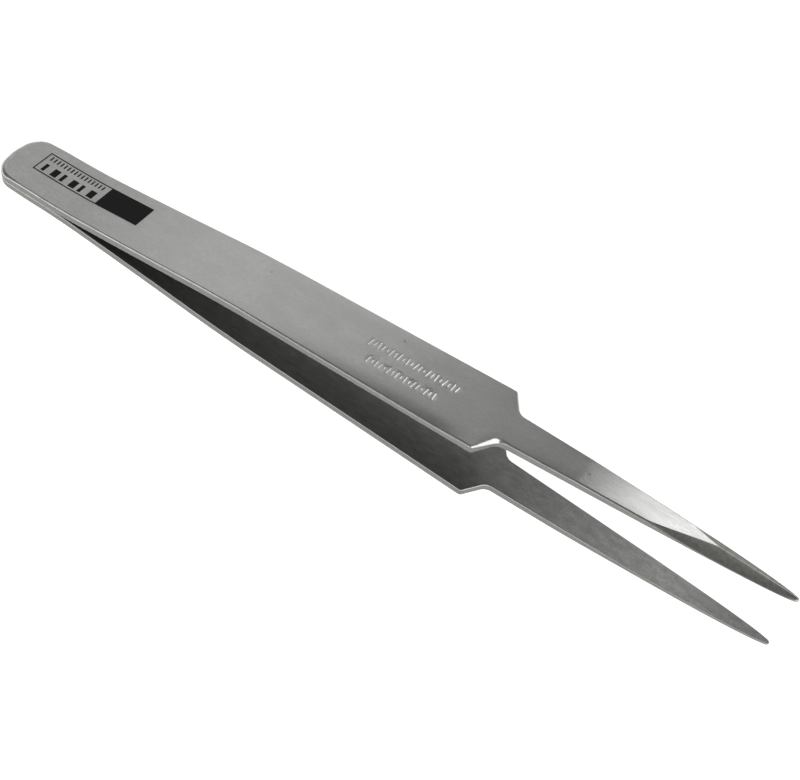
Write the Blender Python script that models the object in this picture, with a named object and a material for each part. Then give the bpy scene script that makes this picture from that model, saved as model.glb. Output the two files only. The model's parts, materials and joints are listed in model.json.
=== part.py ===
"""Precision tweezers: two sprung steel arms, spot-welded together at the heel.

Each arm is one flat strip. Seen from above it has a rounded heel, a body that widens
towards a pair of shoulders, and a narrow blade that tapers to a needle point. Seen from
the side it lies against the other arm at the heel and bows away from it further on.
The arms are shaped about a seam plane, z = 0, with x running from the heel to the points.
That seam plane is then pitched up so that the lower arm lies flat on z = 0.
"""
import math

import bmesh
import bpy
from mathutils import Vector

MM = 0.001

# Driving dimensions, in millimetres
LENGTH = 110.0
THICKNESS = 1.1
POINT_THICKNESS = 0.4
THINNING_START = 84.0

# Outline, as half-widths on each side of the centre line
HEEL_HALF = 4.15
SHOULDER_HALF = 5.0
BLADE_ROOT_HALF = 2.28
POINT_HALF = 0.12
END_RADIUS = 7.4
HEEL_CORNER_RADIUS = 2.8
SHOULDER_START = 72.6
SHOULDER_END = 74.5
SHOULDER_RADIUS = 0.5
SHOULDER_FILLET = 1.5

# The blade narrows faster and faster: as (1 - share) ** BLADE_TAPER
BLADE_TAPER = 0.54

# Bow of each arm: the slope of its inner face away from the seam plane, by distance from
# the heel. The slope is constant between FLAT_START and FLAT_END, where the arm is flat.
CONTACT_END = 8.0
BEND_END = 15.0
BOW_END = 32.0
FLAT_START = 43.0
FLAT_END = 72.0
BEND_SLOPE = 0.085
BOW_SLOPE = 0.103
FLAT_SLOPE = 0.037
POINT_SLOPE = 0.01
SLOPES = (
    (0.0, 0.0),
    (CONTACT_END, 0.0),
    (BEND_END, BEND_SLOPE),
    (BOW_END, BOW_SLOPE),
    (FLAT_START, FLAT_SLOPE),
    (FLAT_END, FLAT_SLOPE),
    (LENGTH, POINT_SLOPE),
)

# Edges
EDGE_BEVEL = 0.22
BEVEL_START = 88.0
BEVELS_MEET = 101.0
BEVEL_SPREAD = 1.5
BEVEL_DEPTH_SHARE = 0.6
POINT_RIDGE_HALF = 0.03
SEAM_CLEARANCE = 0.15

# Welds, and the line about which each arm is taken to flex: just ahead of the front weld,
# where the arms begin to part
WELD_STATIONS = {"spot_weld_front": 7.0, "spot_weld_rear": 3.5}
HINGE_STATION = 10.0
WELD_RADIUS = 1.1
WELD_HALF_HEIGHT = 0.3
WELD_CLEARANCE = 0.3

# Fineness
BODY_STEP = 3.0
BLADE_STEP = 1.5
ARC_STEPS = 8
SHORT_ARC_STEPS = 4
WELD_SIDES = 32
SHARP_ANGLE = math.radians(25)


def clear_scene():
    for obj in list(bpy.data.objects):
        bpy.data.objects.remove(obj, do_unlink=True)


def steel(name, colour, roughness):
    material = bpy.data.materials.new(name)
    material.use_nodes = True
    principled = material.node_tree.nodes["Principled BSDF"]
    principled.inputs["Base Color"].default_value = (*colour, 1.0)
    principled.inputs["Metallic"].default_value = 1.0
    principled.inputs["Roughness"].default_value = roughness
    return material


# ---- the arm in the side view ----

def inner_height(x):
    """Height of the arm's inner face above the seam plane: the slope, summed up to x."""
    height = 0.0
    for (x0, s0), (x1, s1) in zip(SLOPES, SLOPES[1:]):
        run = min(max(x - x0, 0.0), x1 - x0)
        height += run * (s0 + 0.5 * (s1 - s0) * run / (x1 - x0))
    return height


def thickness(x):
    share = max(0.0, x - THINNING_START) / (LENGTH - THINNING_START)
    return THICKNESS + (POINT_THICKNESS - THICKNESS) * share


# ---- the arm in the plan view ----

def arc(centre, radius, start, end, steps):
    """Points on an arc; angles in radians from +x, both ends included."""
    turns = [start + (end - start) * i / steps for i in range(steps + 1)]
    return [Vector((centre[0] + radius * math.cos(a), centre[1] + radius * math.sin(a)))
            for a in turns]


def rounded(before, corner, after, radius, steps):
    """The corner between two straight runs, replaced by an arc of that radius."""
    back = (before - corner).normalized()
    ahead = (after - corner).normalized()
    half = back.angle(ahead) / 2
    tangent = corner + back * radius / math.tan(half)
    centre = corner + (back + ahead).normalized() * radius / math.sin(half)
    start = math.atan2(*(tangent - centre).yx)
    sweep = math.copysign(math.pi - 2 * half, ahead.cross(back))
    return arc(centre, radius, start, start + sweep, steps)


def blade_half(x):
    share = min((x - SHOULDER_END) / (LENGTH - SHOULDER_END), 1.0)
    left = (1 - share) ** BLADE_TAPER
    return POINT_HALF + (BLADE_ROOT_HALF - POINT_HALF) * left


def heel_points():
    """From the middle of the heel's end to the start of the straight side."""
    corner_y = HEEL_HALF - HEEL_CORNER_RADIUS
    reach = math.sqrt((END_RADIUS - HEEL_CORNER_RADIUS) ** 2 - corner_y ** 2)
    corner = (END_RADIUS - reach, corner_y)
    turn = math.pi - math.atan2(corner_y, reach)
    end = arc((END_RADIUS, 0), END_RADIUS, math.pi, turn, SHORT_ARC_STEPS)
    return end + arc(corner, HEEL_CORNER_RADIUS, turn, math.pi / 2, ARC_STEPS)[1:]


def half_outline():
    """The far side of the outline, y > 0, from the heel's end to the point."""
    points = heel_points()
    side_start = points[-1]
    shoulder = Vector((SHOULDER_START, SHOULDER_HALF))
    root = Vector((SHOULDER_END, BLADE_ROOT_HALF))
    blade_x = SHOULDER_END + SHOULDER_FILLET
    blade = Vector((blade_x, blade_half(blade_x)))
    crest = rounded(side_start, shoulder, root, SHOULDER_RADIUS, SHORT_ARC_STEPS)
    valley = rounded(shoulder, root, blade, SHOULDER_FILLET, ARC_STEPS)
    spans = int((crest[0].x - side_start.x) / BODY_STEP)
    points += [side_start.lerp(crest[0], i / spans) for i in range(1, spans)]
    points += crest + valley
    spans = int((LENGTH - valley[-1].x) / BLADE_STEP)
    for i in range(1, spans + 1):
        x = valley[-1].x + (LENGTH - valley[-1].x) * i / spans
        points.append(Vector((x, blade_half(x))))
    return points


def inset(points, depths):
    """Each point moved in, square to the outline, by its own depth."""
    moved = []
    for i, point in enumerate(points):
        ahead = points[min(i + 1, len(points) - 1)]
        behind = points[i - 1] if i else Vector((point.x, -points[1].y))
        along = (ahead - behind).normalized()
        inward = Vector((along.y, -along.x))
        place = point + inward * depths[i]
        moved.append(Vector((place.x, max(place.y, POINT_RIDGE_HALF if i else 0.0))))
    return moved


def ground_share(x):
    """0 where the edge is only broken, 1 where the two bevels have met."""
    return min(max((x - BEVEL_START) / (BEVELS_MEET - BEVEL_START), 0.0), 1.0)


def bevel_width(x, half):
    """Plan width of the outer bevel, which grows along the blade until the two meet."""
    return EDGE_BEVEL + (half - EDGE_BEVEL) * ground_share(x) ** BEVEL_SPREAD


def bevel_drop(x):
    return EDGE_BEVEL + (BEVEL_DEPTH_SHARE * thickness(x) - EDGE_BEVEL) * ground_share(x)


# ---- solids ----

def rails(bm, points, height):
    """Vertices along the far and the near side of the outline, which share the first."""
    far = [bm.verts.new((p.x, p.y, height(p.x))) for p in points]
    near = [bm.verts.new((p.x, -p.y, height(p.x))) for p in points[1:]]
    return far, far[:1] + near


def ladder(bm, far, near):
    """A face across the arm, as rungs between matching far and near vertices."""
    bm.faces.new((far[0], far[1], near[1]))
    for i in range(1, len(far) - 1):
        bm.faces.new((far[i], far[i + 1], near[i + 1], near[i]))


def wall(bm, low, high):
    for i in range(len(low) - 1):
        bm.faces.new((low[i], low[i + 1], high[i + 1], high[i]))


def arm_mesh(name):
    """One arm, above the seam plane, with the hinge station at its origin."""
    outline = half_outline()
    crown = inset(outline, [bevel_width(p.x, p.y) for p in outline])
    bm = bmesh.new()

    def outer(x):
        return inner_height(x) + thickness(x)

    inner = rails(bm, outline, lambda x: max(inner_height(x), SEAM_CLEARANCE))
    brim = rails(bm, outline, lambda x: outer(x) - bevel_drop(x))
    top = rails(bm, crown, outer)
    ladder(bm, *inner)
    ladder(bm, *top)
    for side in (0, 1):
        wall(bm, inner[side], brim[side])
        wall(bm, brim[side], top[side])
    for low, high in ((inner, brim), (brim, top)):
        bm.faces.new((low[0][-1], low[1][-1], high[1][-1], high[0][-1]))
    bmesh.ops.recalc_face_normals(bm, faces=bm.faces)
    bmesh.ops.translate(bm, verts=bm.verts, vec=(-HINGE_STATION, 0, 0))
    bmesh.ops.scale(bm, verts=bm.verts, vec=(MM, MM, MM))
    mesh = bpy.data.meshes.new(name)
    bm.to_mesh(mesh)
    bm.free()
    return mesh


def disc(name, radius, half_height, station):
    """An upright disc centred on the seam plane."""
    bm = bmesh.new()
    bmesh.ops.create_cone(
        bm, cap_ends=True, segments=WELD_SIDES, radius1=radius * MM, radius2=radius * MM,
        depth=2 * half_height * MM)
    mesh = bpy.data.meshes.new(name)
    bm.to_mesh(mesh)
    bm.free()
    obj = bpy.data.objects.new(name, mesh)
    bpy.context.collection.objects.link(obj)
    obj.location = (station * MM, 0, 0)
    return obj


def round_shading(obj):
    obj.data.shade_smooth()
    obj.data.set_sharp_from_angle(angle=SHARP_ANGLE)


# ---- assembly ----

def seam_frame():
    """The empty that holds the assembly: it pitches the seam plane up, so that the lower
    arm's flat stretch lies on z = 0, and centres the length over the origin."""
    pitch = math.atan(FLAT_SLOPE)
    flat_drop = inner_height(FLAT_START) + THICKNESS - FLAT_SLOPE * FLAT_START
    rear = -(SEAM_CLEARANCE + THICKNESS) * math.sin(pitch)
    point_depth = inner_height(LENGTH) + thickness(LENGTH)
    front = LENGTH * math.cos(pitch) + point_depth * math.sin(pitch)
    empty = bpy.data.objects.new("seam_frame", None)
    bpy.context.collection.objects.link(empty)
    empty.rotation_euler = (0, -pitch, 0)
    empty.location = (-(rear + front) / 2 * MM, 0, flat_drop * math.cos(pitch) * MM)
    return empty


def cut_weld_pockets(arm, frame):
    for weld, station in WELD_STATIONS.items():
        cutter = disc(f"{arm.name}_pocket_{weld}", WELD_RADIUS + WELD_CLEARANCE,
                      WELD_HALF_HEIGHT + WELD_CLEARANCE, station)
        cutter.parent = frame
        cutter.hide_render = True
        cutter.display_type = "WIRE"
        modifier = arm.modifiers.new(weld, "BOOLEAN")
        modifier.operation = "DIFFERENCE"
        modifier.solver = "EXACT"
        modifier.object = cutter


def make_arm(name, turn, material, frame):
    """An arm whose origin is on the hinge line. The lower arm is the same, rolled over."""
    arm = bpy.data.objects.new(name, arm_mesh(name))
    bpy.context.collection.objects.link(arm)
    arm.data.materials.append(material)
    arm.parent = frame
    arm.location = (HINGE_STATION * MM, 0, 0)
    arm.rotation_euler = (turn, 0, 0)
    cut_weld_pockets(arm, frame)
    round_shading(arm)
    return arm


def make_weld(name, station, material, frame):
    weld = disc(name, WELD_RADIUS, WELD_HALF_HEIGHT, station)
    weld.data.materials.append(material)
    weld.parent = frame
    round_shading(weld)
    return weld


def main():
    clear_scene()
    frame = seam_frame()
    make_arm("upper_arm", 0.0, steel("upper_arm", (0.33, 0.33, 0.32), 0.36), frame)
    make_arm("lower_arm", math.pi, steel("lower_arm", (0.24, 0.24, 0.23), 0.45), frame)
    for name, station in WELD_STATIONS.items():
        make_weld(name, station, steel(name, (0.18, 0.18, 0.18), 0.6), frame)
    bpy.context.view_layer.update()


main()
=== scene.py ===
"""Looks for the precision tweezers.

Each arm is one finely shaped strip of brushed steel: a rounded heel, softly broken edges, a
polished chamfer round the near shoulder, a blasted inner face and a point ground to a needle.
The arms are shaped in millimetres about the seam plane, z = 0, with x running from the heel to
the points, as the CAD arms are, and are then moved into the frame. A place along an arm is
called its station. The near side is y < 0 and the far side y > 0.
"""
import json
import math

import bmesh
import bpy
from mathutils import Matrix, Vector


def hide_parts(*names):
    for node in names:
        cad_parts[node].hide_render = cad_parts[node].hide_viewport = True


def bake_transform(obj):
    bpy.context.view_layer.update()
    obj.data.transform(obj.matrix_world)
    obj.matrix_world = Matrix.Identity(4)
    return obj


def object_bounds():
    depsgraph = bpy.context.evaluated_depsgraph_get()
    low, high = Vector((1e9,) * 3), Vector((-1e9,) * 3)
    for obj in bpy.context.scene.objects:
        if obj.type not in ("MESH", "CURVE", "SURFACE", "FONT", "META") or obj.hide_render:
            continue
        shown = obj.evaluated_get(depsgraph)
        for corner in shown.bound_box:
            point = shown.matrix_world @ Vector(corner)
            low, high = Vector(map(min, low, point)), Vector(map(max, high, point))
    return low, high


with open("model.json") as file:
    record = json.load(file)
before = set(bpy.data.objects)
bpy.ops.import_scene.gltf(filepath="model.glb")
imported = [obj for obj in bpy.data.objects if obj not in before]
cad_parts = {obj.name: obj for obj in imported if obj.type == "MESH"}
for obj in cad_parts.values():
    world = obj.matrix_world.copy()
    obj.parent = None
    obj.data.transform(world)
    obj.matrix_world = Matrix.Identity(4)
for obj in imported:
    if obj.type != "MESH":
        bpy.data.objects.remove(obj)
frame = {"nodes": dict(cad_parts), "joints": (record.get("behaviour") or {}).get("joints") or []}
CAD_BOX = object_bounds()

MM = 0.001

# Driving dimensions of an arm, in millimetres, as in the CAD
LENGTH = 110.0
THICKNESS = 1.1
POINT_THICKNESS = 0.4
THINNING_START = 84.0
HEEL_HALF = 4.15
SHOULDER_HALF = 5.0
BLADE_ROOT_HALF = 2.28
POINT_HALF = 0.12
END_RADIUS = 7.4
HEEL_CORNER_RADIUS = 2.8
SHOULDER_START = 72.6
SHOULDER_END = 74.5
SHOULDER_RADIUS = 0.5
SHOULDER_FILLET = 1.5
BLADE_TAPER = 0.54
FLAT_SLOPE = 0.037
SLOPES = (
    (0.0, 0.0),
    (8.0, 0.0),
    (15.0, 0.085),
    (32.0, 0.103),
    (43.0, FLAT_SLOPE),
    (72.0, FLAT_SLOPE),
    (LENGTH, 0.01),
)
HINGE_STATION = 10.0
WELD_STATIONS = (7.0, 3.5)
WELD_RADIUS = 1.1
WELD_HALF_HEIGHT = 0.3

# Edges: how far each one is broken, in from the side and down from the outer face. The near
# shoulder has a wider chamfer than the rest.
EDGE_WIDTH = 0.2
EDGE_DROP = 0.18
HEEL_EDGE_WIDTH = 0.9
HEEL_EDGE_DROP = 0.5
HEEL_EDGE_RUN = 9.0
SHOULDER_EDGE_WIDTH = 0.4
SHOULDER_EDGE_DROP = 0.4
SHOULDER_EDGE_MIDDLE = 74.2
SHOULDER_EDGE_REACH = 1.9
INNER_EDGE = 0.08
INNER_EDGE_MOST = 0.5
SEAM_GAP = 0.02

# How flat a broken edge is across its width: at 1 it is a quarter ellipse, at 2 a plain chamfer
HEEL_FLATNESS = 1.0
EDGE_FLATNESS = 1.5
CHAMFER_FLATTER_BY = 0.35
POINT_ROUNDER_BY = 0.2

# The outer face rolls off towards its edges, along the near one mostly before the shoulder.
# The roll is that wide, but takes no more than ROLL_MOST of the half-width.
ROLL_WIDTH = 1.8
ROLL_MOST = 0.6
FAR_ROLL = 0.02
NEAR_ROLL = 0.19
BLADE_ROLL = 0.06
ROLL_START = 36.0
ROLL_FULL = 66.0
ROLL_FADE = 67.5
BLADE_ROLL_START = 76.0
BLADE_ROLL_FULL = 81.0

# The ground point: two bevels that grow until they meet in a ridge, off the middle. A bevel's
# share is of the blade's full width, and its depth is of the thickness.
BEVELS_MEET = 100.35
NEAR_BEVEL_START = 92.5
NEAR_BEVEL_SPREAD = 1.3
NEAR_BEVEL_SHARE = 0.7
NEAR_BEVEL_DEPTH = 0.6
FAR_BEVEL_START = 97.1
FAR_BEVEL_SPREAD = 1.0
FAR_BEVEL_SHARE = 0.3
FAR_BEVEL_DEPTH = 0.22
NOSE_LENGTH = 0.25

# Fineness
ARC_STEPS = 24
BODY_STEP = 0.8
BLADE_STEP = 0.4
NOSE_STEPS = 8
ACROSS = (1.0, 0.985, 0.955, 0.91, 0.85, 0.77, 0.66, 0.5, 0.32, 0.15, 0.0)
EDGE_STEPS = 6
WALL_STEPS = 4
INNER_EDGE_STEPS = 3
MERGE_WITHIN = 0.0008

OUTER, EDGE, WALL, INNER = range(4)


# ---- where the arms lie ----

def seam_frame():
    """From stations along an arm, in millimetres, to the row frame."""
    hinge = Vector(frame["joints"][0]["pos_m"])
    pitch = Matrix.Rotation(-math.atan(FLAT_SLOPE), 4, "Y")
    to_hinge = Matrix.Translation((-HINGE_STATION, 0, 0))
    return Matrix.Translation(hinge) @ pitch @ Matrix.Scale(MM, 4) @ to_hinge


UPPER = seam_frame()
LOWER = UPPER @ Matrix.Rotation(math.pi, 4, "X")


# ---- an arm in the side view ----

def clamp(value):
    return min(max(value, 0.0), 1.0)


def smooth(value):
    share = clamp(value)
    return share * share * (3 - 2 * share)


def between(x, start, end):
    """0 before the start, 1 after the end, and smooth on the way."""
    return smooth((x - start) / (end - start))


def inner_height(x):
    """Height of the arm's inner face above the seam plane: the slope, summed up to x."""
    height = 0.0
    for (x0, s0), (x1, s1) in zip(SLOPES, SLOPES[1:]):
        run = min(max(x - x0, 0.0), x1 - x0)
        height += run * (s0 + 0.5 * (s1 - s0) * run / (x1 - x0))
    return height


def thickness(x):
    share = max(0.0, x - THINNING_START) / (LENGTH - THINNING_START)
    return THICKNESS + (POINT_THICKNESS - THICKNESS) * share


def outer_height(x):
    return inner_height(x) + thickness(x)


def nose(x):
    """1 along the arm, falling to 0 over the rounded nose of the point."""
    share = clamp((x - LENGTH + NOSE_LENGTH) / NOSE_LENGTH)
    return math.sqrt(1 - share * share)


# ---- an arm in the plan view ----

def arc(centre, radius, start, end, steps):
    """Points on an arc; angles in radians from +x, both ends included."""
    turns = [start + (end - start) * i / steps for i in range(steps + 1)]
    return [Vector((centre[0] + radius * math.cos(a), centre[1] + radius * math.sin(a)))
            for a in turns]


def rounded(before, corner, after, radius, steps):
    """The corner between two straight runs, replaced by an arc of that radius."""
    back = (before - corner).normalized()
    ahead = (after - corner).normalized()
    half = back.angle(ahead) / 2
    tangent = corner + back * radius / math.tan(half)
    centre = corner + (back + ahead).normalized() * radius / math.sin(half)
    start = math.atan2(*(tangent - centre).yx)
    sweep = math.copysign(math.pi - 2 * half, ahead.cross(back))
    return arc(centre, radius, start, start + sweep, steps)


def blade_half(x):
    share = min((x - SHOULDER_END) / (LENGTH - SHOULDER_END), 1.0)
    left = (1 - share) ** BLADE_TAPER
    return (POINT_HALF + (BLADE_ROOT_HALF - POINT_HALF) * left) * nose(x)


def heel_points():
    """From the middle of the heel's end to the start of the straight side."""
    corner_y = HEEL_HALF - HEEL_CORNER_RADIUS
    reach = math.sqrt((END_RADIUS - HEEL_CORNER_RADIUS) ** 2 - corner_y ** 2)
    corner = (END_RADIUS - reach, corner_y)
    turn = math.pi - math.atan2(corner_y, reach)
    end = arc((END_RADIUS, 0), END_RADIUS, math.pi, turn, ARC_STEPS // 2)
    return end + arc(corner, HEEL_CORNER_RADIUS, turn, math.pi / 2, ARC_STEPS)[1:]


def straight(start, end, step):
    """Points between two ends, evenly spaced, without the first."""
    spans = math.ceil((end - start).length / step)
    return [start.lerp(end, i / spans) for i in range(1, spans + 1)]


def half_outline():
    """The far side of the outline, y > 0, from the heel's end to the tip of the nose."""
    points = heel_points()
    shoulder = Vector((SHOULDER_START, SHOULDER_HALF))
    root = Vector((SHOULDER_END, BLADE_ROOT_HALF))
    along = SHOULDER_END + SHOULDER_FILLET
    crest = rounded(points[-1], shoulder, root, SHOULDER_RADIUS, ARC_STEPS // 2)
    blade_side = Vector((along, blade_half(along)))
    valley = rounded(shoulder, root, blade_side, SHOULDER_FILLET, ARC_STEPS)
    points += straight(points[-1], crest[0], BODY_STEP)
    points += crest[1:]
    points += straight(crest[-1], valley[0], BODY_STEP / 2)
    points += valley[1:]
    nose_start = LENGTH - NOSE_LENGTH
    blade = straight(Vector((valley[-1].x, 0)), Vector((nose_start, 0)), BLADE_STEP)
    turns = [math.pi / 2 * i / NOSE_STEPS for i in range(1, NOSE_STEPS + 1)]
    tip = [Vector((nose_start + NOSE_LENGTH * math.sin(a), 0)) for a in turns]
    return points + [Vector((p.x, blade_half(p.x))) for p in blade + tip]


def inward(points):
    """Unit vectors square to the outline, pointing into the arm."""
    found = []
    for i, point in enumerate(points):
        behind = points[i - 1] if i else Vector((points[1].x, -points[1].y))
        ahead = points[i + 1] if i + 1 < len(points) else Vector((behind.x, -behind.y))
        along = (ahead - behind).normalized()
        found.append(Vector((along.y, -along.x)))
    return found


# ---- an arm's section ----

def edge_shape(x, run, half, side):
    """Width, drop and flatness of the broken outer edge. Towards the point the edge becomes a
    ground bevel. The one on the near side starts first, and is the wider and the deeper."""
    soft = 1 - smooth(run / HEEL_EDGE_RUN)
    shoulder = 0.0
    if side < 0:
        shoulder = 1 - smooth(abs(x - SHOULDER_EDGE_MIDDLE) / SHOULDER_EDGE_REACH)
    width = (EDGE_WIDTH + (HEEL_EDGE_WIDTH - EDGE_WIDTH) * soft
             + (SHOULDER_EDGE_WIDTH - EDGE_WIDTH) * shoulder)
    drop = (EDGE_DROP + (HEEL_EDGE_DROP - EDGE_DROP) * soft
            + (SHOULDER_EDGE_DROP - EDGE_DROP) * shoulder)
    if side > 0:
        start, spread = FAR_BEVEL_START, FAR_BEVEL_SPREAD
        full, depth = FAR_BEVEL_SHARE, FAR_BEVEL_DEPTH
    else:
        start, spread = NEAR_BEVEL_START, NEAR_BEVEL_SPREAD
        full, depth = NEAR_BEVEL_SHARE, NEAR_BEVEL_DEPTH
    ground = clamp((x - start) / (BEVELS_MEET - start))
    if x > SHOULDER_END:
        share = ground ** spread
        width = min(width, half) * (1 - share) + 2 * half * full * share
    drop = drop * (1 - ground) + depth * thickness(x) * ground
    rounding = clamp((x - BEVELS_MEET) / (LENGTH - BEVELS_MEET))
    flatness = (HEEL_FLATNESS + (EDGE_FLATNESS - HEEL_FLATNESS) * (1 - soft)
                + CHAMFER_FLATTER_BY * max(ground, shoulder) - POINT_ROUNDER_BY * rounding)
    return width, drop, flatness


def roll(x, half, inset_by, side):
    """How far the outer face falls away towards its edges."""
    reach = min(ROLL_WIDTH, ROLL_MOST * half)
    if reach <= 0:
        return 0.0
    drop = FAR_ROLL
    if side < 0:
        near = between(x, ROLL_START, ROLL_FULL) - between(x, ROLL_FADE, SHOULDER_START)
        drop += (NEAR_ROLL - FAR_ROLL) * near
    drop += (BLADE_ROLL - FAR_ROLL) * between(x, BLADE_ROLL_START, BLADE_ROLL_FULL)
    drop *= 1 - between(x, NEAR_BEVEL_START, FAR_BEVEL_START)
    share = clamp(1 - inset_by / reach)
    return drop * reach / ROLL_WIDTH * share * share


def section_side(point, normal, run, side):
    """One side of the section, from the crown of the outer face round to the inner face."""
    width, drop, flatness = edge_shape(point.x, run, point.y, side)
    places = []
    for k in range(EDGE_STEPS + 1):
        turn = math.pi / 2 * (1 - k / EDGE_STEPS)
        place = point + normal * width * (1 - math.cos(turn) ** flatness)
        sink = drop * (1 - math.sin(turn) ** flatness) + roll(place.x, point.y, 0.0, side)
        places.append((place, outer_height(place.x) - sink, EDGE))
    wall_top = places[-1][1]
    edge = min(INNER_EDGE, INNER_EDGE_MOST * point.y)
    base = max(inner_height(point.x), SEAM_GAP)
    for k in range(1, WALL_STEPS + 1):
        z = wall_top + (base + edge - wall_top) * k / WALL_STEPS
        places.append((point, z, WALL))
    for k in range(1, INNER_EDGE_STEPS + 1):
        turn = math.pi / 2 * k / INNER_EDGE_STEPS
        place = point + normal * edge * (1 - math.cos(turn))
        places.append((place, base + edge * (1 - math.sin(turn)), EDGE))
    return places


def across(first, last, height):
    """Points between the two ends of a rung across the arm, the ends left out."""
    half = (first[0].y - last[0].y) / 2
    middle = (first[0].y + last[0].y) / 2
    x = first[0].x
    shares = ACROSS[1:] + tuple(-s for s in reversed(ACROSS[1:-1]))
    return [(Vector((x, middle + half * s)), height(x, middle + half * s)) for s in shares]


def section(point, normal, run):
    """A closed ring of places round the arm, and the region that follows each of them."""
    far = section_side(point, normal, run, 1)
    near = section_side(point, normal, run, -1)
    near = [(Vector((p.x, -p.y)), z, region) for p, z, region in near]

    def outer(x, y):
        far_fall = roll(x, point.y, far[0][0].y - y, 1)
        return outer_height(x) - far_fall - roll(x, point.y, y - near[0][0].y, -1)

    def inner(x, _):
        return max(inner_height(x), SEAM_GAP)

    ring = far + [(p, z, INNER) for p, z in across(far[-1], near[-1], inner)]
    ring += near[::-1] + [(p, z, OUTER) for p, z in across(near[0], far[0], outer)]
    middle = inner_height(LENGTH) + POINT_THICKNESS / 2
    blunt = nose(point.x)
    return [(Vector((p.x, p.y, middle + (z - middle) * blunt)), r) for p, z, r in ring]


def regions():
    """The region of each face round a ring, from one place to the next."""
    rung = 2 * len(ACROSS) - 2
    side = [EDGE] * EDGE_STEPS + [WALL] * WALL_STEPS + [EDGE] * INNER_EDGE_STEPS
    return side + [INNER] * rung + side[::-1] + [OUTER] * rung


def arm_mesh(name, materials):
    """One arm, above the seam plane, in stations."""
    outline = half_outline()
    normals = inward(outline)
    runs = [0.0]
    for a, b in zip(outline, outline[1:]):
        runs.append(runs[-1] + (b - a).length)
    bm = bmesh.new()
    along = bm.verts.layers.float.new("run")
    rings = []
    for point, normal, run in zip(outline, normals, runs):
        ring = []
        for place, _ in section(point, normal, run):
            vert = bm.verts.new(place)
            vert[along] = run
            ring.append(vert)
        rings.append(ring)
    around = regions()
    for ring, following in zip(rings, rings[1:]):
        for k, region in enumerate(around):
            after = (k + 1) % len(ring)
            face = bm.faces.new((ring[k], ring[after], following[after], following[k]))
            face.material_index = region
            face.smooth = True
    bmesh.ops.remove_doubles(bm, verts=bm.verts, dist=MERGE_WITHIN)
    bmesh.ops.dissolve_degenerate(bm, edges=bm.edges, dist=MERGE_WITHIN)
    bmesh.ops.recalc_face_normals(bm, faces=bm.faces)
    lay_out(bm, along)
    mesh = bpy.data.meshes.new(name)
    bm.to_mesh(mesh)
    bm.free()
    for material in materials:
        mesh.materials.append(material)
    return mesh


def lay_out(bm, along):
    """Texture coordinates in millimetres: along the arm, and across it or up its side."""
    uv = bm.loops.layers.uv.new("stations")
    for face in bm.faces:
        flat = face.material_index in (OUTER, INNER)
        for loop in face.loops:
            place = loop.vert.co
            across_or_up = place.y if flat else place.z
            loop[uv].uv = (place.x if flat else loop.vert[along], across_or_up)


# ---- materials ----

# Sizes of the patterns in the finishes, along and across the arm, in millimetres
HAIRS = (3.0, 0.05)
GRAIN = (0.7, 0.24)
CLOUDS = (5.0, 1.8)
SCRATCHES = (1.8, 0.09)
FINE_GRAIN = (0.5, 0.12)
NICKS = (1.4, 0.3)
GRINDING_LINES = (4.0, 0.07)
PATCHES = (1.5, 0.4)
PITTING = (0.3, 0.16)
MOTTLE = (1.6, 0.7)
WEAR = (1.2, 0.25)
WELD_GRAIN = (0.3, 0.3)

QUARTER_TURN = 0.25

# Stations between which the finishes change
GLOSS_RISES = (60.0, 84.0)
FACETS_TAKE_OVER = (91.0, 96.0)
INNER_FACE_BRIGHTENS = (77.0, 96.0)
INNER_FACE_DULLS = (99.0, 105.0)

# Painted light and shade: bands along the outer face painted brighter or darker, as the lights'
# reflections fall on it: how much, tone, and the stations where each one rises, is full, falls
# and ends
PAINTED_LIGHT_BANDS = ((0.32, 0.8, (14.0, 30.0, 52.0, 66.0)), (0.42, 0.38, (61.0, 72.0, 81.0, 87.0)),
              (0.34, 0.85, (84.0, 90.0, 93.0, 98.0)))

# Soft dark smudges on the outer face: centre, reach in millimetres, and strength
SMUDGES = (((46.8, 0.3), 1.6, 0.5), ((50.0, -0.1), 1.5, 0.6), ((50.6, 2.4), 1.3, 0.6),
           ((48.4, 1.4), 2.4, 0.3), ((62.0, -3.6), 2.6, 0.25), ((28.0, 2.6), 2.2, 0.2))


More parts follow.
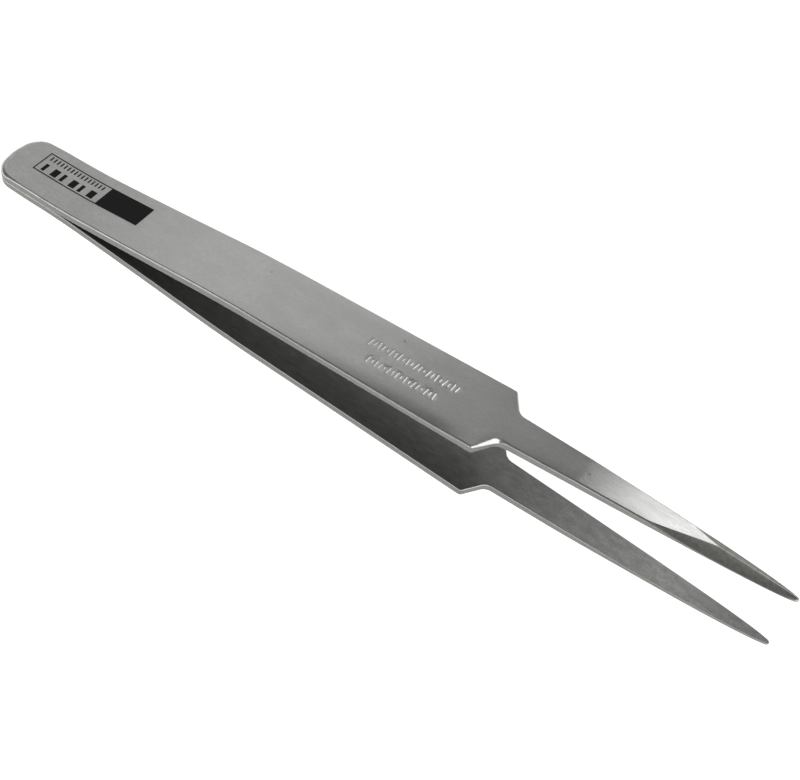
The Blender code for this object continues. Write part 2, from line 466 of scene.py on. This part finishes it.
class Finish:
    """A material made of nodes, with short ways to add them."""

    def __init__(self, name, **constants):
        self.material = bpy.data.materials.new(name)
        self.material.use_nodes = True
        self.nodes = self.material.node_tree.nodes
        self.links = self.material.node_tree.links
        self.principled = self.nodes["Principled BSDF"]
        for socket, value in constants.items():
            self.principled.inputs[socket.replace("_", " ")].default_value = value

    def add(self, kind, sources=(), **settings):
        """A new node. Sources are (input, value or output socket) pairs."""
        node = self.nodes.new(kind)
        for name, value in settings.items():
            setattr(node, name, value)
        for socket, value in sources:
            if isinstance(value, bpy.types.NodeSocket):
                self.links.new(value, node.inputs[socket])
            else:
                node.inputs[socket].default_value = value
        return node

    def stations(self):
        """The arm's own coordinates in millimetres."""
        return self.add("ShaderNodeUVMap", uv_map="stations").outputs["UV"]

    def along(self, place):
        """The station alone."""
        return self.add("ShaderNodeSeparateXYZ", ((0, place),)).outputs["X"]

    def noise(self, vector, size, detail=2.0, roughness=0.5):
        """Noise from 0 to 1 whose features have that size (along, across) in millimetres."""
        scale = (1 / size[0], 1 / size[1], 1.0)
        scaled = self.add("ShaderNodeMapping", ((0, vector), ("Scale", scale))).outputs[0]
        sources = ((0, scaled), ("Scale", 1.0), ("Detail", detail), ("Roughness", roughness))
        return self.add("ShaderNodeTexNoise", sources).outputs["Fac"]

    def spread(self, value, low, high, start=0.0, end=1.0):
        """A value from start to end, mapped onto low to high."""
        sources = (("Value", value), ("From Min", start), ("From Max", end),
                   ("To Min", low), ("To Max", high))
        return self.add("ShaderNodeMapRange", sources).outputs["Result"]

    def rise(self, value, start, end, most=1.0):
        """0 up to the start, rising to most at the end."""
        return self.spread(value, 0.0, most, start, end)

    def blend(self, share, first, second):
        """Between two colours."""
        sources = (("Factor", share), (6, first), (7, second))
        return self.add("ShaderNodeMix", sources, data_type="RGBA").outputs[2]

    def sum(self, first, second):
        return self.add("ShaderNodeMath", ((0, first), (1, second))).outputs[0]

    def spot(self, vector, centre, reach, share, ragged):
        """A soft spot of that reach round a centre: share in the middle, 0 outside."""
        far = self.add("ShaderNodeVectorMath", ((0, vector), (1, (*centre, 0.0))),
                       operation="DISTANCE").outputs["Value"]
        rough = self.sum(far, self.spread(ragged, -reach / 2, reach / 2, 0.3, 0.7))
        return self.spread(rough, share, 0.0, 0.0, reach)

    def relief(self, height, depth):
        """Bump of that depth in millimetres."""
        sources = (("Height", height), ("Distance", depth * MM), ("Strength", 1.0))
        return self.add("ShaderNodeBump", sources).outputs["Normal"]

    def drive(self, socket, source):
        self.links.new(source, self.principled.inputs[socket])

    def brush_lengthwise(self):
        """Turns the anisotropy so that reflections smear across the arm, not along it."""
        tangent = self.add("ShaderNodeTangent", direction_type="UV_MAP", uv_map="stations")
        self.principled.inputs["Anisotropic Rotation"].default_value = QUARTER_TURN
        self.drive("Tangent", tangent.outputs["Tangent"])


def grey(level, warmth=0.01):
    """Steel is a little yellower than grey."""
    return (level * (1 + warmth / 4), level, level * (1 - 1.5 * warmth), 1.0)


def brushed_steel():
    """The outer face: brushed lengthwise to a satin, with faint clouds, a few smudges and bands
    of painted light and shade along it.
    """
    finish = Finish("brushed_steel", Metallic=1.0, Anisotropic=0.55)
    finish.brush_lengthwise()
    place = finish.stations()
    hairs = finish.noise(place, HAIRS, detail=3.0, roughness=0.6)
    grain = finish.noise(place, GRAIN, detail=3.0, roughness=0.6)
    clouds = finish.noise(place, CLOUDS, detail=3.0)
    scratches = finish.noise(place, SCRATCHES, detail=0.0)
    tone = finish.blend(finish.rise(hairs, 0.3, 0.7), grey(0.48), grey(0.66))
    tone = finish.blend(finish.rise(grain, 0.35, 0.7, most=0.8), tone, grey(0.44))
    tone = finish.blend(finish.rise(clouds, 0.4, 0.75, most=0.6), tone, grey(0.48))
    for centre, reach, share in SMUDGES:
        tone = finish.blend(finish.spot(place, centre, reach, share, clouds), tone, grey(0.42))
    tone = finish.blend(finish.rise(scratches, 0.76, 0.84, most=0.5), tone, grey(0.85))
    station = finish.along(place)
    # Painted light and shade: bands along the arm, brighter or darker as the lights' reflections
    # fall
    for peak, level, (rise, top, fall, end) in PAINTED_LIGHT_BANDS:
        painted_band = finish.sum(finish.rise(station, rise, top, most=peak),
                          finish.rise(station, fall, end, most=-peak))
        tone = finish.blend(painted_band, tone, grey(level))
    finish.drive("Base Color", tone)
    gloss = finish.spread(station, 0.32, 0.24, *GLOSS_RISES)
    finish.drive("Roughness", finish.sum(gloss, finish.spread(clouds, -0.02, 0.03, 0.3, 0.7)))
    finish.drive("Normal", finish.relief(hairs, 0.0008))
    return finish.material


def broken_edge():
    """Polished chamfers, which give way to the darker ground facets of the point."""
    finish = Finish("broken_edge", Metallic=1.0)
    place = finish.stations()
    ground = finish.rise(finish.along(place), *FACETS_TAKE_OVER)
    grain = finish.noise(place, FINE_GRAIN, detail=3.0)
    nicks = finish.noise(place, NICKS)
    polished = finish.blend(finish.rise(nicks, 0.35, 0.7), grey(0.66), grey(0.5))
    facet = finish.blend(finish.rise(grain, 0.3, 0.7), grey(0.32, 0.04), grey(0.46, 0.03))
    finish.drive("Base Color", finish.blend(ground, polished, facet))
    finish.drive("Roughness", finish.spread(ground, 0.24, 0.36))
    finish.drive("Normal", finish.relief(grain, 0.0015))
    return finish.material


def sheared_side():
    """The sides of the strip: blanked, then ground along their length."""
    finish = Finish("sheared_side", Metallic=1.0, Anisotropic=0.3)
    finish.brush_lengthwise()
    place = finish.stations()
    lines = finish.noise(place, GRINDING_LINES, detail=3.0)
    patches = finish.noise(place, PATCHES, detail=3.0)
    tone = finish.blend(finish.rise(lines, 0.3, 0.7), grey(0.22), grey(0.27))
    tone = finish.blend(finish.rise(patches, 0.4, 0.7, most=0.5), tone, grey(0.19))
    finish.drive("Base Color", tone)
    finish.drive("Roughness", finish.spread(lines, 0.4, 0.5, 0.3, 0.7))
    finish.drive("Normal", finish.relief(lines, 0.001))
    return finish.material


def blasted_steel():
    """The inner face: matt and finely pitted, and lighter towards the point, less so at its very
    end.
    """
    finish = Finish("blasted_steel", Metallic=1.0)
    place = finish.stations()
    station = finish.along(place)
    pits = finish.noise(place, PITTING, detail=4.0, roughness=0.6)
    mottle = finish.noise(place, MOTTLE, detail=3.0, roughness=0.6)
    ground = finish.sum(finish.rise(station, *INNER_FACE_BRIGHTENS),
                        finish.rise(station, *INNER_FACE_DULLS, most=-0.5))
    dark = finish.blend(ground, grey(0.18), grey(0.32))
    light = finish.blend(ground, grey(0.26), grey(0.46))
    tone = finish.blend(finish.rise(mottle, 0.3, 0.72), dark, light)
    tone = finish.blend(finish.rise(pits, 0.45, 0.7, most=0.35), tone, grey(0.15))
    finish.drive("Base Color", tone)
    finish.drive("Roughness", finish.spread(pits, 0.42, 0.55, 0.3, 0.7))
    finish.drive("Normal", finish.relief(pits, 0.004))
    return finish.material


def fused_steel():
    """The weld nuggets. They are CAD nodes, so their places are in metres."""
    finish = Finish("fused_steel", Metallic=1.0)
    place = finish.add("ShaderNodeTexCoord").outputs["Object"]
    grain = finish.noise(place, [size * MM for size in WELD_GRAIN], detail=3.0)
    finish.drive("Base Color", finish.blend(grain, grey(0.24, 0.04), grey(0.38)))
    finish.drive("Roughness", finish.spread(grain, 0.4, 0.65))
    finish.drive("Normal", finish.relief(grain, 0.01))
    return finish.material


def black_ink():
    """Printed marks: a thin matt film, a little worn."""
    finish = Finish("black_ink", IOR=1.4, Specular_IOR_Level=0.3)
    place = finish.stations()
    wear = finish.noise(place, WEAR, detail=3.0)
    tone = finish.blend(finish.rise(wear, 0.4, 0.8), grey(0.007), grey(0.012))
    finish.drive("Base Color", tone)
    finish.drive("Roughness", finish.spread(wear, 0.6, 0.75))
    return finish.material


# ---- pieces ----

def add_object(name, mesh, place):
    """A mesh in stations, moved into the row frame."""
    mesh.transform(place)
    obj = bpy.data.objects.new(name, mesh)
    bpy.context.scene.collection.objects.link(obj)
    return obj


def flexes_with(obj):
    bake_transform(obj)


def cut(mesh, cutter):
    """The mesh less the cutter, both in stations. The cut faces keep the cutter's materials."""
    whole = bpy.data.objects.new("whole", mesh)
    tool = bpy.data.objects.new("tool", cutter)
    for obj in (whole, tool):
        bpy.context.scene.collection.objects.link(obj)
    boolean = whole.modifiers.new("cut", "BOOLEAN")
    boolean.object = tool
    boolean.operation = "DIFFERENCE"
    boolean.solver = "EXACT"
    depsgraph = bpy.context.evaluated_depsgraph_get()
    result = bpy.data.meshes.new_from_object(whole.evaluated_get(depsgraph))
    for obj in (whole, tool):
        bpy.data.objects.remove(obj)
    return result


def make_arms(materials):
    for node, body, place in (("upper_arm", "upper", UPPER), ("lower_arm", "lower", LOWER)):
        tools = bmesh.new()
        for station in WELD_STATIONS:
            weld_pocket(tools, station)
        if node == "upper_arm":
            stamp_marks(tools)
        mesh = cut(arm_mesh(node, materials), finished(tools, "tools", materials))
        soften_cuts(mesh)
        mesh.name = f"{node}_strip"
        arm = add_object(mesh.name, mesh, place)
        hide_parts(node)
        flexes_with(arm)


# ---- cuts: the weld pockets, and the marks stamped into the upper arm ----

POCKET_CLEARANCE = 0.02
POCKET_SIDES = 48

# A groove's cutter is a wedge that stands GROOVE_RISE proud of the face. Its sharp edge lies off
# to one side and stops short of both ends. The skew and the slope of the ends are shares of its
# half-width.
GROOVE_HALF = 0.11
GROOVE_DEPTH = 0.035
GROOVE_RISE = 0.01
GROOVE_SKEW = 0.6
GROOVE_END_SLOPE = 0.6

# Rows of strokes: first and last station, lower and upper end across the arm, and their number.
# Lengths and leans repeat along a row, as shares of the row's height and of the stroke.
MARK_ROWS = ((55.2, 67.0, 0.25, 1.45, 22), (56.4, 65.4, -2.1, -1.0, 17))
MARK_LENGTHS = (1.0, 0.55, 1.0, 0.8, 0.4, 1.0, 0.7, 1.0, 0.5)
MARK_LEANS = (0.1, 0.1, -0.05, 0.05, 0.15, 0.1, 0.0)

PITS = ((84.8, -0.3), (3.6, 3.2), (4.7, 3.4), (39.6, 2.4), (58.2, 3.1))
PIT_HALF = 0.05
SHARP_ABOVE_DEG = 35


def weld_pocket(bm, station):
    radius = WELD_RADIUS + POCKET_CLEARANCE
    half = WELD_HALF_HEIGHT + POCKET_CLEARANCE
    made = bmesh.ops.create_cone(bm, cap_ends=True, segments=POCKET_SIDES, radius1=radius,
                                 radius2=radius, depth=2 * half,
                                 matrix=Matrix.Translation((station, 0, 0)))
    for face in {f for v in made["verts"] for f in v.link_faces}:
        face.material_index = INNER


def groove(bm, start, end, half, depth):
    """A wedge with its sharp edge along the bottom of a stamped stroke, off to one side."""
    along = (end - start).normalized()
    square = Vector((-along.y, along.x)) * half
    at_top = square * (1 + GROOVE_RISE / depth)
    slope = along * half * GROOVE_END_SLOPE
    rings = []
    for place, inward_by in ((start, slope), (end, -slope)):
        top = outer_height(place.x) + GROOVE_RISE
        bottom = outer_height(place.x) - depth
        deep = place + inward_by - square * GROOVE_SKEW
        corners = [(place - at_top, top), (place + at_top, top), (deep, bottom)]
        rings.append([bm.verts.new((p.x, p.y, z)) for p, z in corners])
    faces = [bm.faces.new(rings[0]), bm.faces.new(rings[1])]
    for k in range(3):
        after = (k + 1) % 3
        faces.append(bm.faces.new((rings[0][k], rings[0][after], rings[1][after], rings[1][k])))
    for face in faces:
        face.material_index = EDGE


def stamp_marks(bm):
    """Two rows of plain strokes, and a few pits."""
    for x0, x1, low, high, count in MARK_ROWS:
        for i in range(count):
            x = x0 + (x1 - x0) * i / (count - 1)
            size = (high - low) * MARK_LENGTHS[i % len(MARK_LENGTHS)]
            lean = MARK_LEANS[i % len(MARK_LEANS)] * size
            middle = (low + high) / 2
            groove(bm, Vector((x - lean / 2, middle - size / 2)),
                   Vector((x + lean / 2, middle + size / 2)), GROOVE_HALF, GROOVE_DEPTH)
    for x, y in PITS:
        groove(bm, Vector((x - PIT_HALF, y)), Vector((x + PIT_HALF, y)), PIT_HALF, PIT_HALF)


def finished(bm, name, materials):
    """A mesh from loose closed shapes, with stations for texture coordinates."""
    bmesh.ops.recalc_face_normals(bm, faces=bm.faces)
    uv = bm.loops.layers.uv.new("stations")
    for face in bm.faces:
        for loop in face.loops:
            loop[uv].uv = loop.vert.co.xy
    mesh = bpy.data.meshes.new(name)
    bm.to_mesh(mesh)
    bm.free()
    for material in materials:
        mesh.materials.append(material)
    return mesh


def soften_cuts(mesh):
    """Smooth shading that stops at the sharp rims of the cuts."""
    mesh.shade_smooth()
    mesh.set_sharp_from_angle(angle=math.radians(SHARP_ABOVE_DEG))


# ---- the printed panel ----

# A frame open to a solid block beyond the split: stations, middle and half-width
PANEL_START = 4.17
PANEL_SPLIT = 14.43
PANEL_END = 21.17
PANEL_MIDDLE = 0.87
PANEL_HALF = 1.76
FRAME_LINE = 0.16

# The ink: its lift off the steel, how thick it is, and how often a film follows the bow
INK_LIFT = 0.004
INK_FILM = 0.01
INK_STEP = 0.5

# Ticks hang from the frame's far line and bars stand on its near one
TICKS = 16
TICK_START = 0.7
TICK_PITCH = 0.57
TICK_WIDTH = 0.2
TICK_TOP = 0.4
TICK_BOTTOM = 1.15
BARS = 6
BAR_START = 0.9
BAR_PITCH = 1.5
BAR_WIDTHS = (0.5, 0.95)
BAR_BOTTOM = 0.4
BAR_TOP = 1.7


def strip(bm, x0, x1, y0, y1):
    """A thin closed film on the outer face."""
    spans = max(1, math.ceil((x1 - x0) / INK_STEP))
    rings = []
    for i in range(spans + 1):
        x = x0 + (x1 - x0) * i / spans
        low = outer_height(x) + INK_LIFT
        corners = ((y0, low), (y1, low), (y1, low + INK_FILM), (y0, low + INK_FILM))
        rings.append([bm.verts.new((x, y, z)) for y, z in corners])
    for ring, following in zip(rings, rings[1:]):
        for k in range(4):
            after = (k + 1) % 4
            bm.faces.new((ring[k], ring[after], following[after], following[k]))
    bm.faces.new(rings[0])
    bm.faces.new(rings[-1])


def printed(name, strips, ink):
    bm = bmesh.new()
    for x0, x1, y0, y1 in strips:
        strip(bm, x0, x1, y0, y1)
    obj = add_object(name, finished(bm, name, [ink]), UPPER)
    flexes_with(obj)


def make_panel(ink):
    """A block, a frame, and ticks and bars inside it. Films keep INK_FILM apart."""
    low = PANEL_MIDDLE - PANEL_HALF
    high = PANEL_MIDDLE + PANEL_HALF
    line = FRAME_LINE
    printed("panel_block", [(PANEL_SPLIT, PANEL_END, low, high)], ink)
    printed("panel_frame", [
        (PANEL_START, PANEL_SPLIT - INK_FILM, high - line, high),
        (PANEL_START, PANEL_SPLIT - INK_FILM, low, low + line),
        (PANEL_START, PANEL_START + line, low + line + INK_FILM, high - line - INK_FILM),
    ], ink)
    ticks = []
    for i in range(TICKS):
        x = PANEL_START + TICK_START + i * TICK_PITCH
        ticks.append((x, x + TICK_WIDTH, high - TICK_BOTTOM, high - TICK_TOP))
    for i in range(BARS):
        x = PANEL_START + BAR_START + i * BAR_PITCH
        ticks.append((x, x + BAR_WIDTHS[i % 2], low + BAR_BOTTOM, low + BAR_TOP))
    printed("panel_ticks", ticks, ink)


# ---- camera, light and floor ----

CAMERA_LENS = 61.1
CAMERA_PLACE = (0.0435, -0.0875, 0.13052)
CAMERA_TURNS_DEG = (36.38, -7.99, 34.30)
CLIP_START = 0.01
LIGHT_DISTANCE = 0.6

# The world is white up to the horizon's height and SKY bright from the sky's height up
HORIZON_HEIGHT = 0.08
SKY_HEIGHT = 0.5
SKY = 0.17

FLOOR_SIZE = 1.5
FLOOR_GAP = 0.02 * MM
FLOOR_TONE = 0.85
FLOOR_GLOW = 0.8


def make_camera():
    data = bpy.data.cameras.new("camera")
    data.lens = CAMERA_LENS
    data.clip_start = CLIP_START
    camera = bpy.data.objects.new("camera", data)
    bpy.context.scene.collection.objects.link(camera)
    camera.location = CAMERA_PLACE
    camera.rotation_euler = [math.radians(a) for a in CAMERA_TURNS_DEG]
    bpy.context.scene.camera = camera


def softbox(name, direction, width, height, radiance):
    """A flat light of that brightness, facing the middle of the tweezers."""
    data = bpy.data.lights.new(name, "AREA")
    data.shape = "RECTANGLE"
    data.size = width
    data.size_y = height
    data.energy = radiance * math.pi * width * height
    light = bpy.data.objects.new(name, data)
    bpy.context.scene.collection.objects.link(light)
    away = Vector(direction).normalized()
    light.location = away * LIGHT_DISTANCE
    light.rotation_euler = away.to_track_quat("Z", "Y").to_euler()


def make_lights():
    softbox("left_back", (-0.54, 0.52, 0.66), 0.44, 0.34, 0.5)
    softbox("back", (0.08, 0.60, 0.80), 0.17, 0.3, 1.75)
    softbox("right", (0.69, -0.45, 0.56), 0.64, 0.34, 1.9)
    softbox("front_left", (-0.62, -0.66, 0.42), 0.16, 0.2, 1.0)


def make_world():
    """A white horizon under a darker sky."""
    world = bpy.data.worlds.new("studio")
    bpy.context.scene.world = world
    world.use_nodes = True
    nodes = world.node_tree.nodes
    links = world.node_tree.links
    direction = nodes.new("ShaderNodeTexCoord").outputs["Generated"]
    parts = nodes.new("ShaderNodeSeparateXYZ")
    height = nodes.new("ShaderNodeMapRange")
    height.interpolation_type = "SMOOTHSTEP"
    height.inputs["From Min"].default_value = HORIZON_HEIGHT
    height.inputs["From Max"].default_value = SKY_HEIGHT
    height.inputs["To Min"].default_value = 1.0
    height.inputs["To Max"].default_value = SKY
    links.new(direction, parts.inputs[0])
    links.new(parts.outputs["Z"], height.inputs["Value"])
    links.new(height.outputs["Result"], nodes["Background"].inputs["Strength"])
    nodes["Background"].inputs["Color"].default_value = grey(1.0)
    bpy.context.scene.view_settings.view_transform = "Standard"


def make_floor():
    """A white table just under the tweezers. It glows a little, so that it shows pure white."""
    finish = Finish("pale_floor", Roughness=0.7, Emission_Strength=FLOOR_GLOW)
    finish.principled.inputs["Base Color"].default_value = grey(FLOOR_TONE)
    finish.principled.inputs["Emission Color"].default_value = grey(1.0)
    bm = bmesh.new()
    bmesh.ops.create_grid(bm, x_segments=1, y_segments=1, size=FLOOR_SIZE)
    mesh = bpy.data.meshes.new("floor")
    bm.to_mesh(mesh)
    bm.free()
    mesh.materials.append(finish.material)
    floor = bpy.data.objects.new("floor", mesh)
    bpy.context.scene.collection.objects.link(floor)
    floor.location.z = CAD_BOX[0].z - FLOOR_GAP


make_camera()
make_world()
make_lights()
make_floor()
make_arms([brushed_steel(), broken_edge(), sheared_side(), blasted_steel()])
make_panel(black_ink())
weld_finish = fused_steel()
for node in ("spot_weld_front", "spot_weld_rear"):
    frame["nodes"][node].data.materials.clear()
    frame["nodes"][node].data.materials.append(weld_finish)

bpy.context.view_layer.update()
